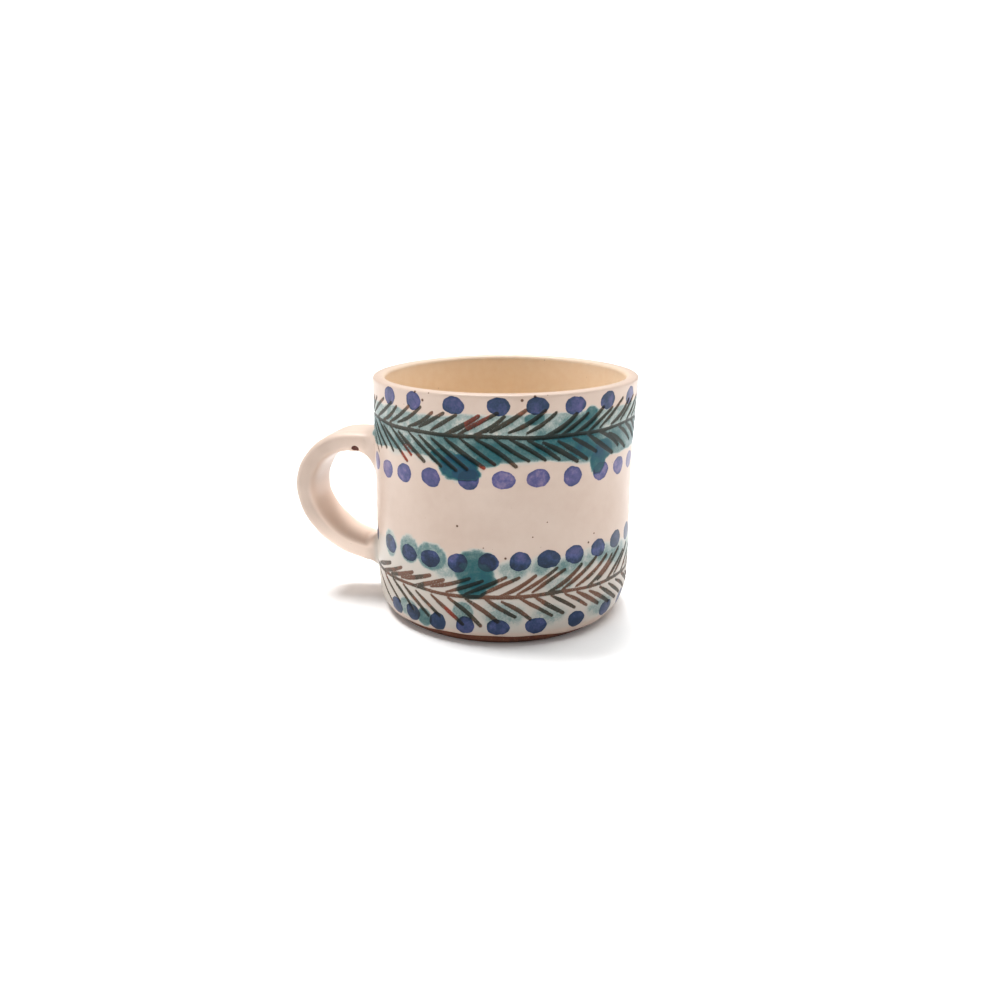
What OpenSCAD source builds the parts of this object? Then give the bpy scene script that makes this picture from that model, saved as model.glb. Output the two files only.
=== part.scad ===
// Hand-thrown folk mug in red earthenware: a thrown pot with a pulled strap handle luted on,
// dipped in white slip, with the foot left bare.
// The origin is on the mug's axis at the face it stands on, +Z is up and the handle is on the -X side.

/* [Pot] */
// Height to the crest of the lip
mug_height = 81; // [76:1:95]
// Finished outside radius half way up the wall
waist_radius = 43.8; // [40:0.2:50]
// How far the wall flares out between the waist and the lip
rim_flare = 0.8; // [0:0.1:3]
// Height where the flare begins
flare_start = 45; // [35:1:60]
// How far the wall tucks in at the foot
foot_tuck = 1.9; // [0.5:0.1:3]
// Height where the tuck begins
tuck_start = 18; // [14:1:24]
// Finished wall thickness at the lip
lip_wall = 4.2; // [3.6:0.1:5]
// Finished wall thickness low down
low_wall = 5.2; // [4.4:0.1:7]
// Height of the finished floor inside
floor_height = 6.5; // [5:0.5:9]
// Radius of the hollow between the floor and the wall
hollow_radius = 9; // [5:0.5:14]

/* [Foot] */
// Radius of the flat face that the mug stands on
standing_radius = 39; // [36:0.2:40.6]
// Height at which the slip stops above the bare clay
bare_foot_height = 2.4; // [1.5:0.1:5]

/* [Slip] */
// Thickness of the slip and the glaze together
coat = 0.6; // [0.4:0.1:0.9]

/* [Handle] */
// Finished width of the strap
strap_width = 19; // [15:0.5:22]
// Finished thickness of the strap
strap_thickness = 7; // [5:0.5:8]
// Height of the strap's middle where it leaves the wall at the top
upper_root_height = 56.3; // [53:0.1:60]
// Distance from the wall to the strap's middle at its furthest point
stand_off = 26.6; // [24:0.2:34]
// Radius of the strap's middle in the upper bend
upper_bend = 15.5; // [12:0.5:18]
// Radius of the strap's middle in the lower bend
lower_bend = 24; // [18:0.5:25]
// Radius of the luting coil pressed round each root
coil_radius = 2.6; // [2:0.1:3.4]

/* [Hidden] */
$fn = 96;
curve_steps = 4;
round_steps = 6;
lip_radius = lip_wall / 2;
lip_z = mug_height - lip_radius;
lip_centre = outer_radius(lip_z) - lip_radius;
hollow_z = floor_height + hollow_radius;
root_x = waist_radius - 3;
strap_flat = strap_width - strap_thickness;
reach = waist_radius + stand_off;
bend_z = upper_root_height - upper_bend;
lower_root_height = bend_z - lower_bend;
clay_colour = [0.48, 0.23, 0.15];
strap_colour = [0.55, 0.28, 0.19];
coil_colour = [0.62, 0.35, 0.25];
slip_colour = [0.90, 0.84, 0.76];
lining_colour = [0.80, 0.66, 0.50];

// Finished outside radius at a height: tucked in below, straight in the middle, flared at the lip.
function outer_radius(z) =
    waist_radius
    - foot_tuck * pow(max(0, tuck_start - z) / tuck_start, 2)
    + rim_flare * pow(max(0, z - flare_start) / (mug_height - flare_start), 2);

// Finished inside radius at a height: the wall thickens evenly from the lip down.
function inner_radius(z) = outer_radius(z) - lip_wall - (low_wall - lip_wall) * (lip_z - z) / lip_z;

// Even steps from one value to another, with both ends.
function steps(from, to, count) = [for (i = [0:count]) from + (to - from) * i / count];

function arc(x, z, radius, from, to) =
    [for (a = steps(from, to, round_steps)) [x + radius * cos(a), z + radius * sin(a)]];

function backwards(points) = [for (i = [len(points) - 1:-1:0]) points[i]];

// The outside of the pot at a depth below the finished surface, from the bare foot up to the crest.
function outer_face(depth) = concat(
    [for (z = steps(bare_foot_height, tuck_start, curve_steps)) [outer_radius(z) - depth, z]],
    [for (z = steps(flare_start, lip_z - 1, curve_steps)) [outer_radius(z) - depth, z]],
    arc(lip_centre, lip_z, lip_radius - depth, 0, 90)
);

// The inside of the pot at a depth below the finished surface, from the crest down to the axis.
function inner_face(depth) = concat(
    arc(lip_centre, lip_z, lip_radius - depth, 90, 180),
    [for (z = steps(lip_z - 1, flare_start, curve_steps)) [inner_radius(z) + depth, z]],
    arc(inner_radius(hollow_z) - hollow_radius, hollow_z, hollow_radius + depth, 0, -90),
    [[0, floor_height - depth]]
);

// The whole pot at a depth, filled to its axis: whatever meets the wall is trimmed with it.
module filled_pot(depth) {
    rotate_extrude()
        polygon(concat(
            [[0, 0], [standing_radius, 0]],
            outer_face(depth),
            [[0, mug_height - depth]]
        ));
}

// Section of the strap: flat faces and round edges, with its thickness along X and its width along Y.
module strap_section(thickness) {
    round_edge = thickness / 2;
    polygon(concat(
        [for (a = steps(0, 180, round_steps)) [round_edge * cos(a), strap_flat / 2 + round_edge * sin(a)]],
        [for (a = steps(180, 360, round_steps)) [round_edge * cos(a), round_edge * sin(a) - strap_flat / 2]]
    ));
}

// A straight run of the strap at a height, from inside the wall out to where its bend begins.
module strap_run(height, bend_x, depth) {
    translate([root_x, 0, height])
        rotate([0, 90, 0])
            linear_extrude(bend_x - root_x)
                strap_section(strap_thickness - 2 * depth);
}

// A quarter bend of the strap, from its furthest point up to the upper run or down to the lower one.
module strap_bend(radius, turn, depth) {
    translate([reach - radius, 0, bend_z])
        rotate([turn, 0, 0])
            rotate_extrude(angle = 90)
                translate([radius, 0])
                    strap_section(strap_thickness - 2 * depth);
}

// The strap at a depth below its finished surface, from inside the wall round and back into it.
module strap(depth) {
    strap_run(upper_root_height, reach - upper_bend, depth);
    strap_bend(upper_bend, 90, depth);
    strap_bend(lower_bend, -90, depth);
    strap_run(lower_root_height, reach - lower_bend, depth);
}

// Half the section of a coil wrapped round the strap, filled to the strap's middle.
function coil_face(depth) =
    [for (a = steps(-90, 90, round_steps))
        [strap_thickness / 2 - coat + (coil_radius - depth) * cos(a), (coil_radius - depth) * sin(a)]];

// A coil of clay wrapped round the strap's section, lying in the X-Y plane.
module coil(depth) {
    edge = coil_radius - depth;
    rotate([90, 0, 0])
        linear_extrude(strap_flat, center = true)
            polygon(concat(coil_face(depth), backwards([for (p = coil_face(depth)) [-p[0], p[1]]])));
    for (side = [-1, 1])
        translate([0, side * strap_flat / 2, 0])
            rotate([0, 0, side * 90 - 90])
                rotate_extrude(angle = 180)
                    polygon(concat([[0, -edge]], coil_face(depth), [[0, edge]]));
}

// The coil round one root, half sunk in the wall.
module root_coil(height, depth) {
    translate([waist_radius - coat, 0, height])
        rotate([0, 90, 0])
            coil(depth);
}

// Turns what is drawn on the +X side round to the side where the handle is.
module handle_side() {
    mirror([1, 0, 0])
        children();
}

// The pot as it left the wheel, turned at the foot.
module clay_body() {
    color(clay_colour)
        rotate_extrude()
            polygon(concat([[0, 0], [standing_radius, 0]], outer_face(coat), inner_face(coat)));
}

// The pulled strap of clay, cut at both roots to the curve of the wall.
module handle_strap() {
    color(strap_colour)
        handle_side()
            difference() {
                strap(coat);
                filled_pot(coat);
            }
}

// Soft clay pressed round the upper root to join the strap to the scored wall.
module upper_luting_coil() {
    color(coil_colour)
        handle_side()
            difference() {
                root_coil(upper_root_height, coat);
                strap(coat);
                filled_pot(coat);
            }
}

// Soft clay pressed round the lower root.
module lower_luting_coil() {
    color(coil_colour)
        handle_side()
            difference() {
                root_coil(lower_root_height, coat);
                strap(coat);
                filled_pot(coat);
            }
}

// White slip over the outside of the wall, open where the two roots pass through it.
module outer_slip() {
    color(slip_colour)
        handle_side()
            difference() {
                rotate_extrude()
                    polygon(concat(outer_face(0), backwards(outer_face(coat))));
                strap(coat);
                root_coil(upper_root_height, coat);
                root_coil(lower_root_height, coat);
            }
}

// Slip lining the inside from the crest of the lip down and across the floor.
module lining_slip() {
    color(lining_colour)
        rotate_extrude()
            polygon(concat(inner_face(0), backwards(inner_face(coat))));
}

// White slip over the strap and its coils, ending on the slip of the wall.
module handle_slip() {
    color(slip_colour)
        handle_side()
            difference() {
                union() {
                    strap(0);
                    root_coil(upper_root_height, 0);
                    root_coil(lower_root_height, 0);
                }
                strap(coat);
                root_coil(upper_root_height, coat);
                root_coil(lower_root_height, coat);
                filled_pot(0);
            }
}

clay_body();
handle_strap();
upper_luting_coil();
lower_luting_coil();
outer_slip();
lining_slip();
handle_slip();
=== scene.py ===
# %% [markdown]
# # A slip-decorated folk mug
#
# A potter in a folk workshop throws this mug in red clay, pulls a strap handle for it, dips it in
# white slip, scratches fir branches through the slip, dabs rows of cobalt dots with a finger and
# brushes copper green over the branches. A clear glaze covers all but the foot.
#
# The sizes come first. Then comes the decoration, because its scratches are cut in the white coat as
# that is built, and after it the coat, the lining, the bare foot, the handle, the colours and the
# light. Lengths are in millimetres until a mesh is made.

# %% load the frame
import math

import bmesh
import bpy
import numpy as np
from mathutils import Matrix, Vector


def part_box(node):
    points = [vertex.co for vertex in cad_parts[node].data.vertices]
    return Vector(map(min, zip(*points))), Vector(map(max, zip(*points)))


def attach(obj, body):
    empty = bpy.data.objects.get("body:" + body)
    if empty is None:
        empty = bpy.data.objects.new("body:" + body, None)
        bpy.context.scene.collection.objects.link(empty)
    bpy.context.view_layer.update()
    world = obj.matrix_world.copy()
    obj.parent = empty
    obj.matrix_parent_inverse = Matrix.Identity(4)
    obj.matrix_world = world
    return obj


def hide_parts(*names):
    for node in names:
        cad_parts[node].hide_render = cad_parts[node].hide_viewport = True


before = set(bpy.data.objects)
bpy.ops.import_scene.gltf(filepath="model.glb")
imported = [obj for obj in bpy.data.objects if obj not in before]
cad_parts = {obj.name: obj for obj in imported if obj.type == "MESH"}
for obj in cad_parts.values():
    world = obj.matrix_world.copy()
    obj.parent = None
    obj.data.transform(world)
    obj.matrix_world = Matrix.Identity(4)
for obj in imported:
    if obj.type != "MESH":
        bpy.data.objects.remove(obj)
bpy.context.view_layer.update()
MM = 0.001
print("nodes:", sorted(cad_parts))

# %% [markdown]
# ## The sizes
#
# The boxes of the measured model's nodes give the height, the waist, the floor and the slip's lower
# edge. The thicknesses that a box can't show are named beside them. A thrown wall is never a straight
# line, so its radius is a function of height: tucked in at the foot with a rounded heel, straight at
# the waist, and opened a little at the lip.

# %% sizes from the measured model
def box_mm(node):
    low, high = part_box(node)
    return [value / MM for value in low], [value / MM for value in high]


SLIP_LOW, SLIP_HIGH = box_mm("outer_slip")
LINING_LOW = box_mm("lining_slip")[0]
STRAP_LOW = box_mm("handle_slip")[0]

COAT = 0.6
HEIGHT = SLIP_HIGH[2]
WAIST = SLIP_HIGH[1] - 0.5
FOOT_EDGE = SLIP_LOW[2]
FLOOR = LINING_LOW[2] + COAT
LIP_WALL = 4.2
LOW_WALL = 5.2
LIP_ROUND = LIP_WALL / 2
LIP_Z = HEIGHT - LIP_ROUND
STANDING = 38.9
HOLLOW = 9.0
HANDLE_SIDE = math.pi
print("height %.1f, waist %.1f, floor %.1f, strap out to %.1f" % (HEIGHT, WAIST, FLOOR, STRAP_LOW[0]))


# %% the wall as a function of height
def outer_radius(z):
    """Distance of the finished wall from the axis."""
    tuck = 1.9 * (np.maximum(0, 18 - z) / 18) ** 2
    flare = 0.8 * (np.maximum(0, z - 45) / 36) ** 2
    heel = 2.4 * (np.maximum(0, 5 - z) / 5) ** 1.7
    return WAIST - tuck - heel + flare


def inner_radius(z):
    return outer_radius(z) - LIP_WALL - (LOW_WALL - LIP_WALL) * (LIP_Z - z) / LIP_Z


# %% [markdown]
# ## What the hand leaves behind
#
# No thrown pot is quite round. It leans a little where it was lifted off the wheel, its foot was
# squeezed oval by the hands that lifted it, its lip rises and dips, and the fingers leave a faint
# spiral as they climb. A few slow waves round the pot give this, and every skin of the wall is moved
# by the same waves so that they all stay together.

# %% lean, oval and throwing rings
LEAN_SIDE = math.radians(12)


def wobble(angle, z):
    """How far the wall is pushed out from a true round."""
    high = np.clip((z - 48) / 33, 0, 1) ** 1.4
    low = np.clip((11 - z) / 11, 0, 1) ** 1.4
    lean = (0.1 + 0.55 * high - 0.8 * low) * np.cos(angle - LEAN_SIDE)
    foot_oval = 1.8 * low * np.cos(2 * (angle - LEAN_SIDE - math.pi / 2))
    oval = 0.14 * np.cos(2 * angle + 0.9) + 0.08 * np.cos(3 * angle + 2.1 + z / 30) + foot_oval
    rings = 0.035 * np.sin(2 * math.pi * z / 5.5 + angle)
    return lean + oval + rings * np.clip((z - 6) / 8, 0, 1) * np.clip((76 - z) / 6, 0, 1)


def lip_share(z):
    """How much a height takes part in the rise and fall of the lip."""
    return np.clip((z - 70) / 11, 0, 1)


def lip_wave(angle):
    """How far the lip is raised."""
    far_side, right_side = np.cos(angle - LEAN_SIDE - math.pi / 2), np.cos(angle - LEAN_SIDE)
    bowed = np.cos(2 * (angle - LEAN_SIDE))
    return 0.29 + 0.22 * far_side + 0.3 * right_side - 0.14 * bowed + 0.08 * np.cos(3 * angle + 1.1)


# %% [markdown]
# ## A mesh from a grid
#
# A pot is a grid of points wound round an axis: rows go up the wall and columns go round it.
# bmesh could spin a profile, but the wall is cut by hundreds of scratches, so its points are
# worked out as arrays and handed over in one go.

# %% grid to mesh
def grid_mesh(name, points, close_first=False, close_last=False):
    rows, columns = points.shape[:2]
    index = np.arange(rows * columns).reshape(rows, columns)
    along = np.roll(index, -1, axis=1)
    quads = np.stack([index[:-1], along[:-1], along[1:], index[1:]], axis=-1).reshape(-1, 4)
    faces = quads.tolist()
    if close_first:
        faces.append(index[0][::-1].tolist())
    if close_last:
        faces.append(index[-1].tolist())
    mesh = bpy.data.meshes.new(name)
    mesh.from_pydata((points.reshape(-1, 3) * MM).tolist(), [], faces)
    mesh.shade_smooth()
    piece = bpy.data.objects.new(name, mesh)
    bpy.context.scene.collection.objects.link(piece)
    print(name, "has", len(mesh.vertices), "points and", len(mesh.polygons), "faces")
    return piece


def round_angles(columns):
    return np.linspace(0, 2 * math.pi, columns, endpoint=False)


def wound(radius, angle, z):
    """Points at a distance from the axis, a bearing and a height."""
    return np.stack([radius * np.cos(angle), radius * np.sin(angle), z], axis=-1)


def arc(radius, z, size, start, end, count):
    turn = np.radians(np.linspace(start, end, count))
    return np.stack([radius + size * np.cos(turn), z + size * np.sin(turn)], axis=-1)


# %% [markdown]
# ## The scratched branches
#
# The potter turns the leather-hard mug and drags a blunt point round it for the stem, then flicks
# short strokes outward from it, all leaning the same way, like the needles of a fir branch. Each
# stroke lifts the white slip and shows the red clay.
#
# A stroke is a short bent line with a width that swells and ends round. The field below says, at
# any spot of the wall, how far inside the nearest stroke it lies, in millimetres. The same field
# cuts the groove in the mesh and colours it, so the two always agree.

# %% helpers for places on the wall
MM_PER_DEGREE = math.pi * WAIST / 180


def degrees_between(angle, centre):
    return (angle - centre + 180) % 360 - 180


def smooth_step(low, high, value):
    t = np.clip((value - low) / (high - low), 0, 1)
    return t * t * (3 - 2 * t)


def slow_wave(angle, seed, size):
    """A smooth line round the pot that meets itself again."""
    phase = np.radians(angle)
    broad, middling = np.sin(2 * phase + seed), np.sin(5 * phase + 2.3 * seed)
    return size * (broad + 0.6 * middling + 0.35 * np.sin(11 * phase + 4.1 * seed)) / 1.6


UPPER_STEM, LOWER_STEM = 68.3, 16.8


def upper_stem(angle):
    return UPPER_STEM + slow_wave(angle, 1.2, 0.5)


def lower_stem(angle):
    return LOWER_STEM + slow_wave(angle, 2.9, 0.6)


# %% one stroke
FAR = -5.0
STROKE_BENDS = 6


def stroke_inside(angle, z, start, height, lean, length, bow, half_width):
    """How far inside one stroke each place is; places far from it are left at FAR."""
    result = np.full(angle.shape, FAR)
    across = degrees_between(angle, start) * MM_PER_DEGREE
    reach = length + 2
    near = (across > -2) & (across < reach) & (np.abs(z - height) < reach)
    if not near.any():
        return result
    u, v = across[near], z[near] - height
    rise = math.radians(lean)
    t = np.linspace(0, 1, STROKE_BENDS + 1)
    line_u = t * length * math.cos(rise) - np.sin(math.pi * t) * bow * math.sin(rise)
    line_v = t * length * math.sin(rise) + np.sin(math.pi * t) * bow * math.cos(rise)
    swell = half_width * (0.45 + 0.55 * np.minimum(1, t * 3)) * (1 - 0.25 * t**3)
    best = np.full(u.shape, FAR)
    for i in range(STROKE_BENDS):
        du, dv = line_u[i + 1] - line_u[i], line_v[i + 1] - line_v[i]
        along = np.clip(((u - line_u[i]) * du + (v - line_v[i]) * dv) / (du * du + dv * dv), 0, 1)
        gap = np.hypot(u - line_u[i] - along * du, v - line_v[i] - along * dv)
        best = np.maximum(best, swell[i] + along * (swell[i + 1] - swell[i]) - gap)
    result[near] = best
    return result


# %% a whole branch
STEM_HALF_WIDTH = 0.50
BRANCH_REACH = 14
HANDLE_DEGREES = 180
CLEAR_OF_ROOT = 27


def branch(angle, z, stem, seed, up_lean, up_length, down_lean, down_length, gap, clear_of_handle):
    """How far inside a stem, or the nearest stroke above or below it, each place is."""
    hand = np.random.default_rng(seed)
    field = STEM_HALF_WIDTH - np.abs(z - stem(angle)) + slow_wave(angle, seed, 0.12)
    band = (z > stem(0) - BRANCH_REACH) & (z < stem(0) + BRANCH_REACH)
    angle_near, z_near = angle[band], z[band]
    best = field[band]
    for lean, length, side in ((up_lean, up_length, 1), (down_lean, down_length, -1)):
        start = -180.0 + hand.uniform(0, 4)
        while start < 180:
            if clear_of_handle and abs(degrees_between(start, HANDLE_DEGREES)) < CLEAR_OF_ROOT:
                start += 2
                continue
            root = stem(start) + side * hand.uniform(0.2, 1.6)
            slant = side * (lean(start) + hand.uniform(-2.2, 2.2))
            reach = length(start) * hand.uniform(0.84, 1.12)
            bow = side * hand.uniform(-0.8, 0.2)
            half_width = hand.uniform(0.56, 0.78)
            stroke = stroke_inside(angle_near, z_near, start, root, slant, reach, bow, half_width)
            best = np.maximum(best, stroke)
            start += gap(start) * hand.uniform(0.90, 1.10)
    field[band] = best
    return field


def from_left(first, later):
    """A value for the strokes by the handle that changes to another one towards the front."""
    return lambda start: float(np.interp(start, (-110, -75), (first, later)))


def scratched(angle, z):
    """Both branches. Strokes lean in degrees, and the gaps between them are in degrees round the pot."""
    upper = branch(angle, z, upper_stem, seed=11,
                   up_lean=from_left(30, 32), up_length=from_left(12, 12.5),
                   down_lean=from_left(35, 31), down_length=from_left(15, 12.5),
                   gap=from_left(6.6, 6.7), clear_of_handle=False)
    lower = branch(angle, z, lower_stem, seed=23,
                   up_lean=from_left(18, 31), up_length=from_left(13.5, 14),
                   down_lean=from_left(37, 32), down_length=from_left(13, 12),
                   gap=from_left(8.2, 6.6), clear_of_handle=True)
    return np.maximum(upper, lower)


# %% [markdown]
# ## The finger dots
#
# Cobalt is dabbed on with a fingertip, one dot after another along the edges of each band. No two
# are the same: some are tall, some wide, some thin and pale, some loaded and nearly black. The dots
# at the front are listed one by one, in whole degrees round the mug, and each row rises and falls
# through four heights. At the back the rows go on at their own spacing as far as the handle.

# %% where the dots are
TOP_ROW = (-133, -117, -98, -80, -65, -49, -32, -14)
UNDER_BRANCH_ROW = (-151, -137, -124, -109, -92, -78, -64, -49, -34, -21, -8)
MIDDLE_ROW = (-136, -122, -110, -97, -84, -71, -59, -47, -34, -21, -7)
FOOT_ROW = (-133, -121, -107, -94, -80, -64, -45, -26)
HEIGHTS_GIVEN_AT = (-135, -100, -65, -20, 225)
BARE_BY_HANDLE = 12
LARGEST_DOT = 6
# Each row: its dots, its spacing at the back, the size of a dot, how loaded it is, and its heights.
DOT_ROWS = (
    (TOP_ROW, 16, 3.4, 0.72, (77.3, 77.5, 77.5, 76.6)),
    (UNDER_BRANCH_ROW, 14, 3.6, 0.46, (53.4, 54.3, 55.4, 54.8)),
    (MIDDLE_ROW, 13, 3.6, 0.80, (27.6, 27.6, 28.6, 29.8)),
    (FOOT_ROW, 15, 3.4, 0.84, (6.7, 6.6, 6.7, 7.0)),
)
print("dots at the front:", sum(len(row[0]) for row in DOT_ROWS))


# %% every dot, and how heavily it is loaded
def whole_row(front, spacing, hand):
    """The dots listed for the front, then more of them round the back up to where the row began."""
    row = list(front)
    place = front[-1] + spacing
    while place < front[0] + 360 - spacing * 1.2:
        if abs(place - HANDLE_DEGREES) > BARE_BY_HANDLE:
            row.append(place + hand.uniform(-1.5, 1.5))
        place += spacing * hand.uniform(0.9, 1.1)
    return row


def dot_fields(angle, z):
    """How far inside the nearest dot each place is, and how loaded that dot is."""
    hand = np.random.default_rng(5)
    inside = np.full(angle.shape, FAR)
    load = np.zeros(angle.shape)
    for front, spacing, size, strength, heights in DOT_ROWS:
        for place in whole_row(front, spacing, hand):
            centre_z = np.interp(place, HEIGHTS_GIVEN_AT, heights + heights[:1])
            centre_z += hand.uniform(-0.3, 0.3)
            wide, tall = size * hand.uniform(0.94, 1.08), size * 0.85 * hand.uniform(0.93, 1.07)
            turn, loaded = hand.uniform(0, 6.28), strength + hand.uniform(-0.18, 0.18)
            u = degrees_between(angle, place) * MM_PER_DEGREE
            v = z - centre_z
            near = (np.abs(u) < LARGEST_DOT) & (np.abs(v) < LARGEST_DOT)
            bearing = np.arctan2(v[near], u[near])
            reach = np.hypot(u[near] / wide, v[near] / tall)
            lobes = np.cos(2 * bearing + turn) + np.cos(3 * bearing + 2 * turn)
            edge = 1 + 0.03 * lobes + 0.02 * np.cos(7 * bearing)
            value = (edge - reach) * size
            better = value > inside[near]
            spot = np.flatnonzero(near)[better]
            inside[spot] = value[better]
            load[spot] = loaded
    return inside, load


# %% [markdown]
# ## The copper green
#
# Copper is brushed loosely over the branches and then runs in the glaze as it melts, so it is
# never even: it thins to a grey haze and pools into deep teal drops. The wash is an even haze plus
# the soft touches of the brush, which add up where they overlap. The wet drops are laid on last, and
# hide most of the wash under them instead of adding to it.

# %% where the green lies
# Each touch: its bearing in degrees, its height, how wide and tall it is, and its strength.
SOFT_TOUCHES = (
    (-146, 65, 12, 5, 0.20), (-130, 62, 7, 4, 0.15), (-112, 62, 7, 4, 0.15), (-103, 66, 6, 3, 0.30),
    (-84, 64, 8, 4, 0.35), (-70, 63, 9, 4, 0.20), (-60, 66, 7, 5, 0.45), (-46, 69, 9, 6, 0.60),
    (-42, 62, 10, 4, 0.60), (-26, 64, 6, 4, 0.25), (4, 64, 12, 7, 0.35), (26, 64, 10, 7, 0.6),
    (45, 66, 12, 6, 0.45), (74, 66, 11, 7, 0.5), (96, 66, 10, 6, 0.6), (118, 62, 9, 6, 0.5),
    (148, 66, 12, 7, 0.4),
    (-74, 26, 6, 4, 0.24), (-62, 27, 5, 4, 0.30), (-50, 26, 6, 4, 0.34), (-40, 27, 4, 4, 0.24),
    (-30, 27, 6, 4, 0.30), (-18, 25, 7, 5, 0.30), (-102, 25, 6, 4, 0.20), (-54, 20, 6, 3, 0.18),
    (-78, 11, 8, 5, 0.26), (-58, 10, 7, 4, 0.20), (-30, 9, 8, 4, 0.24),
    (0, 24, 9, 5, 0.25), (34, 24, 9, 5, 0.25), (66, 24, 9, 5, 0.30), (88, 24, 9, 5, 0.25),
    (108, 24, 7, 5, 0.35), (124, 24, 8, 5, 0.25), (158, 24, 9, 5, 0.25), (30, 8, 9, 4, 0.2),
    (84, 8, 8, 4, 0.25), (136, 8, 9, 4, 0.2),
)
WET_DROPS = (
    (-96.5, 58.3, 6.4, 4.2, 1.40), (-93, 56.4, 4.6, 2.2, 1.70), (-103, 61.2, 5.0, 2.6, 0.95),
    (-84, 61.0, 4.0, 2.2, 0.85), (-36, 58.9, 3.4, 4.6, 1.20), (-33, 62.0, 4.6, 3.4, 1.10),
    (-66, 73.6, 3.2, 1.8, 0.80), (-41, 73.4, 2.6, 2.8, 0.90),
    (-136, 28.0, 4.1, 4.6, 0.34), (-122, 28.6, 4.6, 4.6, 0.46), (-109.5, 28.0, 5.8, 4.6, 0.54),
    (-89, 28.0, 6.6, 4.0, 0.72), (-90, 24.6, 6.4, 4.6, 0.86), (-88, 22.0, 6.0, 2.8, 0.92),
    (-91, 19.0, 4.8, 3.2, 0.98),
    (-114, 6.6, 3.2, 3.2, 0.66), (-95, 11.0, 3.6, 3.6, 0.42), (-124, 8.0, 5.0, 3.4, 0.34),
    (62, 58, 3.6, 4.6, 0.9), (132, 58, 3.4, 4.4, 0.9), (16, 27, 6.4, 5.8, 0.6), (50, 22, 3.8, 6.6, 0.9),
    (142, 24, 3.6, 5.8, 0.8),
)
print(len(SOFT_TOUCHES), "soft touches and", len(WET_DROPS), "wet drops")


# %% the wash over the whole wall
UPPER_HAZE_TOP, UPPER_HAZE_BOTTOM, LOWER_HAZE_TOP = 74.6, 60.0, 28.2
THIN_HAZE_AT = -122


def wash_field(angle, z):
    """How much green lies at each place, from 0 to about 2 in the wettest drop."""
    top = UPPER_HAZE_TOP + slow_wave(angle, 3.3, 0.7) + slow_wave(4 * angle, 1.3, 0.5)
    bottom = UPPER_HAZE_BOTTOM + slow_wave(angle, 5.1, 1.0) + slow_wave(3 * angle, 2.6, 0.4)
    over_bottom = smooth_step(-0.2, 0.5, z - bottom)
    wash = 0.34 * smooth_step(-0.2, 0.5, top - z) * over_bottom
    under_stem = 0.26 - 0.20 * smooth_step(35, 15, np.abs(degrees_between(angle, THIN_HAZE_AT)))
    wash = wash + under_stem * smooth_step(-1.0, 0.8, upper_stem(angle) - z) * over_bottom
    low_top = LOWER_HAZE_TOP + slow_wave(angle, 0.7, 0.8) + slow_wave(4 * angle, 0.4, 0.4)
    wash = wash + 0.10 * smooth_step(-0.4, 0.6, low_top - z) * smooth_step(-0.5, 1.5, z - 4)
    for touches, crisp in ((SOFT_TOUCHES, 0.45), (WET_DROPS, 0.88)):
        for place, height, wide, tall, strength in touches:
            reach = np.hypot(degrees_between(angle, place) * MM_PER_DEGREE / wide, (z - height) / tall)
            touch = strength * smooth_step(1.1, crisp, reach)
            wash = wash + touch if touches is SOFT_TOUCHES else np.maximum(wash, touch + 0.25 * wash)
    return wash


# %% fields kept on a mesh
def store(piece, name, values):
    layer = piece.data.attributes.new(name, "FLOAT", "POINT")
    layer.data.foreach_set("value", np.ascontiguousarray(values, dtype=np.float32).ravel())


def paint(piece, angle, z, fade, marked):
    """Stores the decoration on a piece, one number a point: green by fade, the rest where marked."""
    scratch = scratched(angle, z)
    dot, load = dot_fields(angle, z)
    fields = {
        "scratch": np.where(marked, scratch, FAR),
        "dot": np.where(marked, dot, FAR),
        "load": load,
        "wash": wash_field(angle, z) * fade,
    }
    for name, values in fields.items():
        store(piece, name, values)


# %% [markdown]
# ## The white coat
#
# The slip covers the wall from a wavy edge above the foot, over the lip and a little way inside.
# It is a thin skin, so its lower edge is modelled with a rounded bead that stands proud of the
# clay. Rows are close together where the branches are, because each scratch is a real groove
# with a faint burr along its sides.

# %% the coat's rows, from its edge over the foot to where it ends inside the lip
def even(low, high, step):
    return list(np.arange(low, high - step * 0.5, step))


COAT_HEIGHTS = (even(FOOT_EDGE + 0.5, 8.5, 0.6) + even(8.5, 27.5, 0.47) + even(27.5, 56.0, 1.1)
                + even(56.0, 77.0, 0.47) + even(77.0, LIP_Z - 0.4, 0.7))
LIP_OUT, LIP_IN = outer_radius(LIP_Z), inner_radius(LIP_Z)
LIP_ROWS = np.concatenate([
    [[outer_radius(z), z] for z in (LIP_Z, LIP_Z + 0.6)],
    arc(LIP_OUT - 0.85, HEIGHT - 0.95, 0.85, 5, 80, 7),
    [[LIP_OUT - 1.4, HEIGHT - 0.04], [LIP_OUT - 2.0, HEIGHT]],
    arc(LIP_IN + 1.5, HEIGHT - 1.5, 1.5, 100, 175, 7),
    [[inner_radius(LIP_Z - drop), LIP_Z - drop] for drop in (0.0, 1.2, 2.6, 4.0)],
])
print(len(COAT_HEIGHTS), "rows up the wall and", len(LIP_ROWS), "over the lip")


# %% the slip's lower edge
LOWEST_SLIP = 0.45


def foot_edge(angle):
    """Height of the slip's lower edge, which wanders where the fingers held the foot."""
    sides_lower = 1.45 * np.cos(2 * (angle - LEAN_SIDE - math.pi / 2)) - 0.6 * np.cos(angle - LEAN_SIDE)
    waves = slow_wave(np.degrees(angle), 0.4, 0.22) + 0.12 * np.sin(17 * angle + 1.0)
    above = FOOT_EDGE - 0.45 + sides_lower + waves - LOWEST_SLIP
    return LOWEST_SLIP + np.logaddexp(0, 3 * above) / 3


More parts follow.
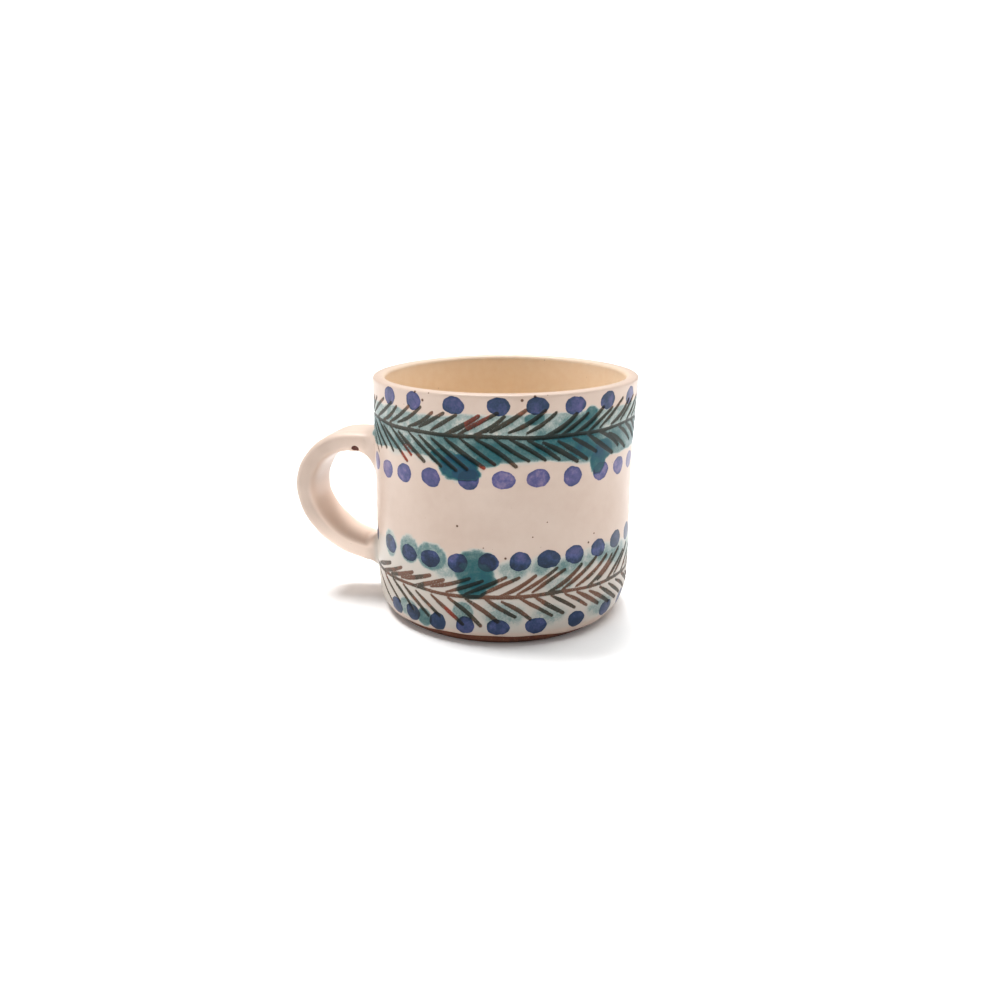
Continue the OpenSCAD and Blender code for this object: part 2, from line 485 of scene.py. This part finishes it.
# %% the coat's points, with a groove for every scratch
COLUMNS = 600
GROOVE_DEPTH, BURR_HEIGHT = 0.34, 0.07
angles = round_angles(COLUMNS)
edge = foot_edge(angles)
heights = np.array(COAT_HEIGHTS)[:, None] + np.zeros(COLUMNS)
heights = heights + np.clip((9.0 - heights) / (9.0 - FOOT_EDGE), 0, 1) * (edge - FOOT_EDGE)
degrees = np.degrees(angles) + np.zeros_like(heights)
cut = scratched(degrees, heights)
groove = BURR_HEIGHT * np.exp(-((cut + 0.35) / 0.22) ** 2) - GROOVE_DEPTH * smooth_step(-0.28, 0.42, cut)
wall_radius = outer_radius(heights) + groove + wobble(angles, heights)

bead_depths = np.array([COAT + 0.15, COAT - 0.02, 0.38, 0.10])[:, None]
bead_heights = edge + np.array([0.9, 0.0, -0.05, 0.20])[:, None]
bead_radius = outer_radius(bead_heights) - bead_depths + wobble(angles, bead_heights)

lip_radius = LIP_ROWS[:, :1] + wobble(angles, LIP_ROWS[:, 1:])
all_radius = np.concatenate([bead_radius, wall_radius, lip_radius])
all_heights = np.concatenate([bead_heights, heights, LIP_ROWS[:, 1:] + np.zeros(COLUMNS)])
lifted = all_heights + lip_wave(angles) * lip_share(all_heights)
white_coat = grid_mesh("white_slip_coat", wound(all_radius, angles, lifted))

# %% the coat's decoration, which ends on the crown of the lip, where the cream begins
CROWN_ROW = 10
outside = np.ones_like(all_radius)
outside[-len(LIP_ROWS) + CROWN_ROW:] = 0
outside = outside.ravel()
coat_degrees = (np.degrees(angles) + np.zeros_like(lifted)).ravel()
paint(white_coat, coat_degrees, all_heights.ravel(), outside, outside > 0)
turned_in = np.zeros_like(all_radius)
turned_in[-len(LIP_ROWS):] = smooth_step(8, 21, np.arange(len(LIP_ROWS)))[:, None]
store(white_coat, "inside", turned_in)
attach(white_coat, "root")
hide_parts("outer_slip")

# %% [markdown]
# ## The lining
#
# The inside is lined by pouring slip in and out again. The glaze lies thicker here and turns it to
# warm cream. Only soft throwing rings break the surface, and a spiral on the floor where the
# potter's finger ended, so the rows can be wider apart than outside.

# %% build the lining
LINING_COLUMNS = 300
lining_angles = round_angles(LINING_COLUMNS)
HOLLOW_Z = FLOOR + HOLLOW
lining_rows = np.concatenate([
    [[inner_radius(z), z] for z in np.arange(LIP_Z - 4.0, HOLLOW_Z + 0.6, -1.2)],
    arc(inner_radius(HOLLOW_Z) - HOLLOW, HOLLOW_Z, HOLLOW, 0, -90, 14),
    [[radius, FLOOR] for radius in np.arange(inner_radius(HOLLOW_Z) - HOLLOW - 1.2, 0.6, -1.0)],
])
row_radius, row_z = lining_rows[:, :1], lining_rows[:, 1:]
ring_turn = 0.16 * np.sin(2 * math.pi * row_z / 6.0 + lining_angles) * np.clip((LIP_Z - 8 - row_z) / 10, 0, 1)
ring_turn = ring_turn * np.clip((row_z - FLOOR - 3) / 6, 0, 1)
spiral = 0.28 * np.sin(2 * math.pi * row_radius / 7.0 - lining_angles) * (row_z < FLOOR + 0.2)
spiral = spiral * np.clip(row_radius / 6, 0, 1) * np.clip((30 - row_radius) / 8, 0, 1)
lining_radius = row_radius + ring_turn + wobble(lining_angles, row_z) * np.clip(row_radius / 30, 0, 1)
lining_z = row_z + spiral + lip_wave(lining_angles) * lip_share(row_z)
lining = grid_mesh("cream_lining", wound(lining_radius, lining_angles, lining_z), close_last=True)
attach(lining, "root")
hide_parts("lining_slip")

# %% [markdown]
# ## The pot itself
#
# The red clay shows only at the foot, where it was wiped clean so that it wouldn't stick to the
# kiln shelf, and underneath, where a string cut it from the wheel and left curved lines. The
# hidden part of the pot is closed off inside the coats.

# %% build the foot
foot_angles = round_angles(360)
foot_rows = np.concatenate([
    [[radius, 0.35] for radius in np.arange(1.0, 33.0, 1.0)],
    [[33.5, 0.28], [34.6, 0.08], [36.0, 0.0], [STANDING - 0.7, 0.0]],
    arc(STANDING - 0.7, 0.7, 0.7, -70, -25, 4),
    [[outer_radius(z) - COAT - 0.2 * (1.6 - z), z] for z in (0.8, 1.2, 1.6)],
    [[outer_radius(z) - COAT, z] for z in (2.2, 3.0, 4.5, 6.0)],
    [[36.0, 6.0], [20.0, 4.5], [1.0, 4.5]],
])
base_radius, base_z = foot_rows[:, :1], foot_rows[:, 1:]
foot_radius = base_radius + wobble(foot_angles, base_z) * np.clip((base_radius - 20) / 16, 0, 1)
string_y = base_radius * np.sin(foot_angles) + 60
string_x = base_radius * np.cos(foot_angles) + 8
from_hand = np.hypot(string_x, string_y)
string_cut = 0.11 * np.sin(2 * math.pi * from_hand / 3.1) + 0.05 * np.sin(from_hand * 4.7)
underneath = (base_z > 0.3) & (base_z < 0.4)
foot_z = base_z + string_cut * underneath
foot_points = wound(foot_radius, foot_angles, foot_z)
pot = grid_mesh("thrown_clay_pot", foot_points, close_first=True, close_last=True)
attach(pot, "root")
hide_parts("clay_body")

# %% [markdown]
# ## The pulled handle
#
# A strap is pulled from a lump of wet clay, bent into an ear and pressed to the wall at both ends.
# The potter smears soft clay round each root until no seam is left: deep under the top root, where
# a finger presses, and short everywhere else. So the handle can't be a tube stuck on a cylinder.
# Its section is swept along a smooth line, and at each end every point of the section runs down
# its own curve to lie flat on the wall.
#
# The strap's top stretch, its lower half and its inner face are painted brighter than the rest of
# the slip. This is painted light on parts that the lamps leave in shade, and it fades again towards
# both roots. One small chip by the top root shows clay.

# %% the line of the strap, as distance out, height, thickness and width
STRAP_LINE = np.array([
    (51.0, 56.3, 7.3, 19.4), (55.0, 56.1, 7.2, 19.2), (59.2, 55.0, 7.2, 19.0), (63.4, 52.6, 7.2, 19.0),
    (67.0, 48.9, 7.3, 19.0), (69.5, 44.2, 7.4, 19.0), (70.4, 39.0, 7.4, 19.0), (69.4, 33.2, 7.3, 18.8),
    (66.3, 27.5, 7.2, 18.6), (61.7, 22.8, 7.1, 18.4), (56.6, 19.4, 7.1, 18.4), (51.4, 17.5, 7.1, 18.4),
])


def smooth_line(knots, per_span):
    """A line through every knot, with even points between them."""
    ends = np.concatenate([[2 * knots[0] - knots[1]], knots, [2 * knots[-1] - knots[-2]]])
    line = []
    for i in range(1, len(ends) - 2):
        before, here, there, after = ends[i - 1 : i + 3]
        for t in np.linspace(0, 1, per_span, endpoint=False):
            squared = (2 * before - 5 * here + 4 * there - after) * t**2
            cubed = (3 * here - before - 3 * there + after) * t**3
            line.append(0.5 * (2 * here + (there - before) * t + squared + cubed))
    return np.array(line + [knots[-1]])


# %% the section, between an oval and a rectangle, and the rings along the strap
SECTION_POINTS = 72
ROUNDNESS = 4.2
turn = round_angles(SECTION_POINTS)
section_out = np.sign(np.cos(turn)) * np.abs(np.cos(turn)) ** (2 / ROUNDNESS)
section_side = np.sign(np.sin(turn)) * np.abs(np.sin(turn)) ** (2 / ROUNDNESS)


def free_rings(line):
    """The section set square to the line at every point, a little uneven as a hand leaves it."""
    tangent = np.gradient(line[:, :2], axis=0)
    tangent /= np.linalg.norm(tangent, axis=1, keepdims=True)
    outward = np.stack([-tangent[:, 1], tangent[:, 0]], axis=-1)
    flute = 0.10 * np.cos(section_side * 9.0 + 0.5) * np.clip(section_out, 0, 1)
    rings = []
    for (out, height, thick, wide), (nx, nz), place in zip(line, outward, np.arange(len(line))):
        hand = 1 + 0.012 * math.sin(place * 0.23) + 0.008 * math.sin(place * 0.61 + 1)
        depth = section_out * thick / 2 * hand + flute
        side = section_side * wide / 2 * hand
        rings.append(np.stack([-(out + nx * depth), side, height + nz * depth], axis=-1))
    return np.array(rings)


strap_line = smooth_line(STRAP_LINE, 7)
strap_rings = free_rings(strap_line)
print("strap reaches out to %.1f" % -strap_rings[:, :, 0].min())


# %% the roots, where the strap runs out onto the wall
def on_wall(y, z, out):
    """Distance from the axis along X of the wall at a place, and out from it."""
    angle = HANDLE_SIDE - np.arcsin(np.clip(y / WAIST, -1, 1))
    surface = outer_radius(z) + wobble(angle, z)
    return -(np.sqrt(np.maximum(surface**2 - y**2, 1)) + out)


ROOT_SUNK = 0.42


def root_rings(first_ring, height, thick, wide, up, spread, run, steps=12):
    """Rings from the wall out to the strap: spread and run are for above, below and the sides."""
    normal_z = up * np.sign(section_out) * np.abs(section_out) ** (ROUNDNESS - 1) / thick
    normal_y = np.sign(section_side) * np.abs(section_side) ** (ROUNDNESS - 1) / wide
    size = np.hypot(normal_z, normal_y)
    normal_z, normal_y = normal_z / size, normal_y / size
    above, below = np.clip(normal_z, 0, 1), np.clip(-normal_z, 0, 1)
    side = 1 - above - below
    spreads = above * spread[0] + below * spread[1] + side * spread[2]
    runs = above * run[0] + below * run[1] + side * run[2]
    rings = []
    for bend in np.radians(np.linspace(0, 90, steps)):
        away = spreads * (1 - math.sin(bend))
        y = section_side * wide / 2 + normal_y * away
        z = height + up * section_out * thick / 2 + normal_z * away
        out = runs * (1 - math.cos(bend)) - ROOT_SUNK * (1 - math.sin(bend))
        rings.append(np.stack([on_wall(y, z, out), y, z], axis=-1))
    for share in (0.33, 0.66):
        rings.append(rings[steps - 1] * (1 - share) + first_ring * share)
    return np.array(rings)


upper_root = root_rings(strap_rings[0], 56.3, 7.4, 19.4, 1, (3.0, 11.5, 4.5), (3.4, 7.5, 5.0))
lower_root = root_rings(strap_rings[-1], 16.6, 7.2, 18.4, -1, (7.0, 4.2, 4.5), (5.4, 5.0, 4.5))
handle_points = np.concatenate([upper_root, strap_rings, lower_root[::-1]])

# %% the chip, and the handle's mesh
CHIP = np.array([-50.6, -9.4, 54.0])
CHIP_SIZE, CHIP_DEPTH = 1.7, 0.75
from_chip = np.linalg.norm((handle_points - CHIP) * (0.8, 1, 1), axis=-1)
chip_depth = CHIP_DEPTH * np.clip(1 - from_chip / CHIP_SIZE, 0, 1) ** 0.6
handle_points = handle_points + chip_depth[:, :, None] * (0, 0.8, 0.6)
handle = grid_mesh("pulled_strap_handle", handle_points)

# %% the handle's decoration and its painted light
STRAP_MIDDLE = 40
flat = handle_points.reshape(-1, 3)
handle_degrees = np.degrees(np.arctan2(flat[:, 1], flat[:, 0]))
height_out = np.hypot(flat[:, 0], flat[:, 1]) - outer_radius(flat[:, 2])
upper_half = flat[:, 2] > STRAP_MIDDLE
green_reach = smooth_step(np.where(upper_half, 1.3, 3.0), np.where(upper_half, 0.3, 0.2), height_out)
paint(handle, handle_degrees, flat[:, 2], green_reach, upper_half & (height_out < 1.2))
along = np.linspace(0, 1, len(handle_points))[:, None]
# painted light: brighter slip on the strap's top stretch, lower half and inner face, fading at the roots
painted_strap_light = (0.75 * smooth_step(0.6, 0.8, along) + 0.25 * smooth_step(0.3, 0.15, along)
              + (0.15 + 0.85 * smooth_step(0.45, 0.62, along)) * smooth_step(0.35, 0.8, -section_out))
store(handle, "pooled", painted_strap_light.ravel() * smooth_step(0.5, 6.0, height_out))
store(handle, "inside", np.zeros(len(flat)))
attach(handle, "root")
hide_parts("handle_slip", "handle_strap", "upper_luting_coil", "lower_luting_coil")

# %% [markdown]
# ## Writing shader maths as maths
#
# A material is a graph of nodes, but what it says is usually a sum: this much noise, taken from
# that mask. The class below wraps one output socket, so that an expression on values adds the
# Math nodes it needs, and every other node comes from one method.

# %% a socket that can be calculated with
class Wire:
    def __init__(self, tree, socket=None):
        self.tree, self.socket = tree, socket

    def node(self, kind, settings=None, sockets=None, output=0):
        made = self.tree.nodes.new(kind)
        for name, value in (settings or {}).items():
            if name == "stops":
                fill_ramp(made.color_ramp, value)
            else:
                setattr(made, name, value)
        for name, value in (sockets or {}).items():
            if isinstance(value, Wire):
                self.tree.links.new(value.socket, made.inputs[name])
            else:
                made.inputs[name].default_value = value
        return Wire(self.tree, made.outputs[output] if len(made.outputs) else None)

    def maths(self, operation, *values, clamp=False):
        settings = {"operation": operation, "use_clamp": clamp}
        return self.node("ShaderNodeMath", settings, dict(enumerate(values)))

    def __add__(self, other):
        return self.maths("ADD", self, other)

    def __sub__(self, other):
        return self.maths("SUBTRACT", self, other)

    def __rsub__(self, other):
        return self.maths("SUBTRACT", other, self)

    def __mul__(self, other):
        return self.maths("MULTIPLY", self, other)

    __radd__, __rmul__ = __add__, __mul__

    def step(self, low, high):
        """0 below low and 1 above high, with a smooth change between them."""
        ease = {"interpolation_type": "SMOOTHSTEP"}
        return self.node("ShaderNodeMapRange", ease, {"Value": self, "From Min": low, "From Max": high})

    def mix(self, other, share, blend="MIX"):
        """This colour mixed with another one."""
        settings = {"data_type": "RGBA", "blend_type": blend}
        return self.node("ShaderNodeMix", settings, {0: share, 6: self, 7: other}, 2)

    def stored(self, name):
        return self.node("ShaderNodeAttribute", {"attribute_name": name}, output="Fac")

    def near(self, place, size):
        """1 close to a place given in millimetres, fading to 0 at about its size."""
        here = self.node("ShaderNodeTexCoord", output="Object")
        gap = self.node("ShaderNodeVectorMath", {"operation": "DISTANCE"},
                        {0: here, 1: [side * MM for side in place]}, "Value")
        return 1 - gap.step(size * 0.7 * MM, size * 1.15 * MM)

    def noise(self, scale, detail=3.0, roughness=0.5, stretch=(1, 1, 1)):
        """Noise of so many waves a millimetre, at a place on the object."""
        place = self.node("ShaderNodeTexCoord", output="Object")
        place = self.node("ShaderNodeVectorMath", {"operation": "MULTIPLY"},
                          {0: place, 1: [scale / MM * side for side in stretch]})
        return self.node("ShaderNodeTexNoise", {}, {
            "Vector": place, "Scale": 1.0, "Detail": detail, "Roughness": roughness,
        })


def fill_ramp(ramp, stops):
    while len(ramp.elements) < len(stops):
        ramp.elements.new(0.5)
    for element, (position, colour) in zip(ramp.elements, stops):
        element.position, element.color = position, colour


def new_material(name):
    material = bpy.data.materials.new(name)
    material.use_nodes = True
    material.node_tree.nodes.clear()
    return material, Wire(material.node_tree)


def finish_material(wire, sockets):
    shader = wire.node("ShaderNodeBsdfPrincipled", {}, sockets)
    wire.node("ShaderNodeOutputMaterial", {}, {"Surface": shader})


# %% [markdown]
# ## Glazed slip
#
# Under the glaze the slip is a warm white that the clay tints here and there, with a few specks of
# iron. The scratches show dark clay, with a few red tips and a few browner strokes. Cobalt and copper
# are stains, so each multiplies what lies under it and a dot shows through the green; only the
# wettest drops hide most of it. The masks come from the stored fields, and noise worries their edges
# as a brush and a finger do.

# %% the slip, its stains and its glaze
def colour(red, green, blue):
    return (red, green, blue, 1.0)


# Specks: bearing in degrees, height and size. Tips and strokes: bearing and height.
IRON_SPECKS = ((-97, 39.5, 0.42), (-71, 79.3, 0.5), (-112, 78.1, 0.5), (-77, 29.8, 0.42), (-40, 32.2, 0.4),
               (-37, 34.8, 0.3), (-116, 80.4, 0.5), (-109, 80.6, 0.35), (-66, 80.4, 0.5), (-61, 80.7, 0.35),
               (-66, 36.5, 0.25), (-60, 41.0, 0.22), (-86, 33.0, 0.22))
RED_TIPS = ((-87, 75.6), (-90, 72.2), (-84, 60.0), (-122, 60.5), (-100, 10.5))
BROWN_STROKES = ((-125, 20), (-108, 19.5), (-104, 17), (-80, 20), (-74, 17), (-68, 15), (-66, 22),
                 (-50, 22), (-46, 18), (-36, 12), (-84, 13), (-30, 24))
SPECK_BY_CHIP = (-48.9, -9.7, 57.2)


def on_the_wall(degrees, height):
    angle = math.radians(degrees)
    radius = outer_radius(height) + wobble(angle, height)
    return tuple(wound(radius, angle, height + lip_wave(angle) * lip_share(height)))


def glazed_slip():
    material, wire = new_material("glazed_slip")
    fine, soft, broad = wire.noise(1.6, 4), wire.noise(0.35, 3), wire.noise(0.06, 2)
    grain = wire.noise(3.5, 2)

    white = wire.node("ShaderNodeValToRGB", {"stops": (
        (0.30, colour(0.452, 0.350, 0.288)), (0.52, colour(0.480, 0.378, 0.316)),
        (0.72, colour(0.505, 0.406, 0.342)),
    )}, {"Fac": broad * 0.7 + soft * 0.3})
    cream = wire.node("ShaderNodeValToRGB", {"stops": (
        (0.30, colour(0.82, 0.655, 0.48)), (0.70, colour(0.85, 0.70, 0.53)),
    )}, {"Fac": soft})
    wash = wire.stored("wash")
    haze = colour(0.50, 0.452, 0.402)
    slip = white.mix(haze, wash.step(0.02, 0.14) * 0.75).mix(cream, wire.stored("inside"))
    # painted light: the handle's slip is lightened on parts that the lamps leave in shade
    slip = slip.mix(colour(0.88, 0.71, 0.60), wire.stored("pooled"))

    speck = wire.noise(0.9, 1).step(0.80, 0.825) * 0.7
    for degrees, height, size in IRON_SPECKS:
        speck = speck + wire.near(on_the_wall(degrees, height), size)
    slip = slip.mix(colour(0.09, 0.045, 0.028), speck)

    scratch = wire.stored("scratch") + (fine - 0.5) * 0.35
    cut = scratch.step(-0.24, 0.05)
    clay = wire.node("ShaderNodeValToRGB", {"stops": (
        (0.36, colour(0.036, 0.031, 0.021)), (0.52, colour(0.070, 0.047, 0.030)),
        (0.64, colour(0.17, 0.060, 0.032)),
    )}, {"Fac": soft * 0.75 + grain * 0.25})
    worn = (grain * 0.6 + fine * 0.4).step(0.56, 0.68)
    red = 0.0
    for degrees, height in RED_TIPS:
        red = wire.near(on_the_wall(degrees, height), 3.0) + red
    clay = clay.mix(colour(0.24, 0.030, 0.014), red.step(0.1, 0.8) * 0.85)
    brown = 0.0
    for degrees, height in BROWN_STROKES:
        brown = wire.near(on_the_wall(degrees, height), 5.0) + brown
    clay = clay.mix(colour(0.150, 0.062, 0.036), brown.step(0.1, 0.8) * 0.8)
    painted = slip.mix(clay, cut * (1 - worn * 0.45))

    dot = wire.stored("dot") + (soft - 0.5) * 0.30 + (fine - 0.5) * 0.25
    dab = dot.step(-0.06, 0.10) * (1 - wire.stored("wash").step(0.95, 1.15) * 0.65)
    rim = dot.step(0.0, 0.2) - dot.step(0.3, 1.1)
    body = wire.stored("load") + (soft - 0.5) * 1.15 + (fine - 0.5) * 0.45 + rim * 0.13
    cobalt = wire.node("ShaderNodeValToRGB", {"stops": (
        (0.05, colour(0.37, 0.37, 0.74)), (0.40, colour(0.15, 0.175, 0.54)),
        (0.80, colour(0.050, 0.100, 0.30)), (1.00, colour(0.022, 0.068, 0.19)),
    )}, {"Fac": body})
    painted = painted.mix(cobalt, dab, "MULTIPLY")

    brushed = (soft - 0.5) * 0.85 + (fine - 0.5) * 0.45 + (grain - 0.5) * 0.35
    wet = wash * 1.05 + brushed * wash.step(0.0, 0.45)
    copper = wire.node("ShaderNodeValToRGB", {"stops": (
        (0.00, colour(1.0, 1.0, 1.0)), (0.08, colour(0.84, 0.90, 0.92)), (0.18, colour(0.49, 0.66, 0.70)),
        (0.32, colour(0.20, 0.38, 0.42)), (0.50, colour(0.080, 0.23, 0.265)),
        (0.72, colour(0.004, 0.15, 0.20)), (1.00, colour(0.001, 0.085, 0.18)),
    )}, {"Fac": wet * 0.6})
    painted = painted.mix(copper, 1.0, "MULTIPLY")
    bare = wire.near(CHIP, 1.5) + wire.near(SPECK_BY_CHIP, 0.6) * 0.3 + (fine - 0.5) * 0.3
    chipped = bare.step(0.35, 0.6)
    painted = painted.mix(colour(0.075, 0.020, 0.014), chipped)

    ripple = wire.noise(0.25, 2) * 0.6 + wire.noise(1.2, 3) * 0.08
    bump = wire.node("ShaderNodeBump", {}, {
        "Height": ripple - cut * 0.25, "Strength": 0.12, "Distance": 0.4 * MM,
    })
    finish_material(wire, {
        "Base Color": painted, "Roughness": 0.30 + fine * 0.10 + cut * 0.15, "Normal": bump,
        "IOR": 1.5, "Specular IOR Level": 0.16, "Coat Weight": 0.05, "Coat Roughness": 0.10, "Coat IOR": 1.45,
    })
    return material


# %% [markdown]
# ## Bare red clay
#
# Fired red clay is matt and grainy, from dark brown to orange-brown in soft patches. Pale grains of
# grog break the colour up.

# %% bare clay
def bare_clay():
    material, wire = new_material("bare_red_clay")
    coarse, fine = wire.noise(0.25, 4), wire.noise(2.2, 4)
    tone = wire.node("ShaderNodeValToRGB", {"stops": (
        (0.25, colour(0.055, 0.020, 0.012)), (0.50, colour(0.125, 0.043, 0.024)),
        (0.75, colour(0.19, 0.075, 0.040)),
    )}, {"Fac": coarse * 0.6 + fine * 0.4})
    grog = wire.noise(1.4, 1).step(0.66, 0.72)
    tone = tone.mix(colour(0.42, 0.22, 0.12), grog * 0.5)
    bump = wire.node("ShaderNodeBump", {}, {
        "Height": fine * 0.6 + coarse * 0.4, "Strength": 0.35, "Distance": 0.3 * MM,
    })
    finish_material(wire, {
        "Base Color": tone, "Roughness": 0.55 + fine * 0.25, "Specular IOR Level": 0.2, "Normal": bump,
    })
    return material


# %% the finishes put on the pieces
slip_finish, clay_finish = glazed_slip(), bare_clay()
for piece in (white_coat, lining, handle):
    piece.data.materials.append(slip_finish)
pot.data.materials.append(clay_finish)
store(lining, "inside", np.ones(len(lining.data.vertices)))
for name in ("scratch", "dot"):
    store(lining, name, np.full(len(lining.data.vertices), FAR))
print("finishes:", slip_finish.name, clay_finish.name)

# %% [markdown]
# ## The studio
#
# A pale floor in a white room. Three lights far above shine down from behind the mug, spread to
# either side, so the floor stays white and the shadows are short, soft and fall forward; the one from
# the right is spread wider and its shadow is the softest. A low soft light on either side brightens
# the wall towards its edges and leaves the middle a little darker, so the wall reads as round.

# %% camera
FACING = math.radians(12)
LOOKING_DOWN = 15.6
ROLL = 0.21
LENS, SENSOR = 36.25, 36.0
right = np.array([math.cos(FACING), math.sin(FACING), 0.0])
ahead = np.array([-math.sin(FACING), math.cos(FACING), 0.0])
spot = (-1.0 * right - 340.0 * ahead + np.array([0, 0, 131.3])) * MM
camera_data = bpy.data.cameras.new("camera")
camera_data.lens, camera_data.sensor_width = LENS, SENSOR
camera_data.clip_start, camera_data.clip_end = 0.01, 50.0
camera = bpy.data.objects.new("camera", camera_data)
bpy.context.scene.collection.objects.link(camera)
tilt = Matrix.Rotation(FACING, 4, "Z") @ Matrix.Rotation(math.radians(90 - LOOKING_DOWN), 4, "X")
camera.matrix_world = Matrix.Translation(spot) @ tilt @ Matrix.Rotation(math.radians(ROLL), 4, "Z")
bpy.context.scene.camera = camera


# %% floor
def pale_floor():
    made = bmesh.new()
    bmesh.ops.create_grid(made, x_segments=8, y_segments=8, size=12.0)
    mesh = bpy.data.meshes.new("floor")
    made.to_mesh(mesh)
    made.free()
    floor = bpy.data.objects.new("floor", mesh)
    bpy.context.scene.collection.objects.link(floor)
    material, wire = new_material("pale_floor")
    finish_material(wire, {
        "Base Color": colour(0.98, 0.98, 0.98), "Roughness": 0.9, "Specular IOR Level": 0.0,
    })
    mesh.materials.append(material)


pale_floor()


# %% lights
def facing(towards):
    """Axes of something whose -Z looks along a direction and whose Y is as upright as it can be."""
    back = -towards / np.linalg.norm(towards)
    side = np.cross([0, 0, 1.0], back)
    side /= np.linalg.norm(side)
    return side, np.cross(back, side), back


def soft_light(name, place, aim, wide, tall, power):
    """A glowing panel at a place to the right, ahead and up, aimed at a height on the axis."""
    data = bpy.data.lights.new(name, "AREA")
    data.shape, data.size, data.size_y, data.energy = "RECTANGLE", wide, tall, power
    light = bpy.data.objects.new(name, data)
    bpy.context.scene.collection.objects.link(light)
    spot = np.array(place[0] * right + place[1] * ahead + np.array([0, 0, place[2]]))
    towards = np.array([0, 0, aim]) - spot
    light.matrix_world = Matrix.Translation(spot) @ Matrix(np.column_stack(facing(towards)).tolist()).to_4x4()


soft_light("left_light", (-0.8, -0.12, 0.18), 0.05, 0.7, 0.5, 2.0)
soft_light("right_light", (0.8, 0.10, 0.18), 0.05, 0.7, 0.5, 2.0)


def overhead_light(name, tilt, bearing, energy, spread):
    """A light far above, tilted back from upright; its bearing swings it to one side."""
    data = bpy.data.lights.new(name, "SUN")
    data.energy, data.angle = energy, math.radians(spread)
    light = bpy.data.objects.new(name, data)
    bpy.context.scene.collection.objects.link(light)
    lean, swing = math.tan(math.radians(tilt)), math.radians(bearing)
    towards = lean * (math.sin(swing) * right - math.cos(swing) * ahead) + np.array([0, 0, -1.0])
    light.matrix_world = Matrix(np.column_stack(facing(towards)).tolist()).to_4x4()


overhead_light("overhead_left", 20, 60, 2.5, 16)
overhead_light("overhead_back", 20, 4, 2.2, 16)
overhead_light("overhead_right", 20, -52, 1.6, 32)


# %% surroundings
def white_room():
    """An even glow: full white where the camera looks at it, and faint where it lights the mug."""
    world = bpy.data.worlds.new("white_room")
    bpy.context.scene.world = world
    world.use_nodes = True
    tree = world.node_tree
    tree.nodes.clear()
    wire = Wire(tree)
    seen = wire.node("ShaderNodeLightPath", output="Is Camera Ray")
    shine = wire.node("ShaderNodeBackground", {}, {
        "Color": colour(1.0, 1.0, 1.0), "Strength": seen * 0.90 + 0.30,
    })
    wire.node("ShaderNodeOutputWorld", {}, {"Surface": shine})


white_room()
bpy.context.scene.view_settings.view_transform = "Standard"
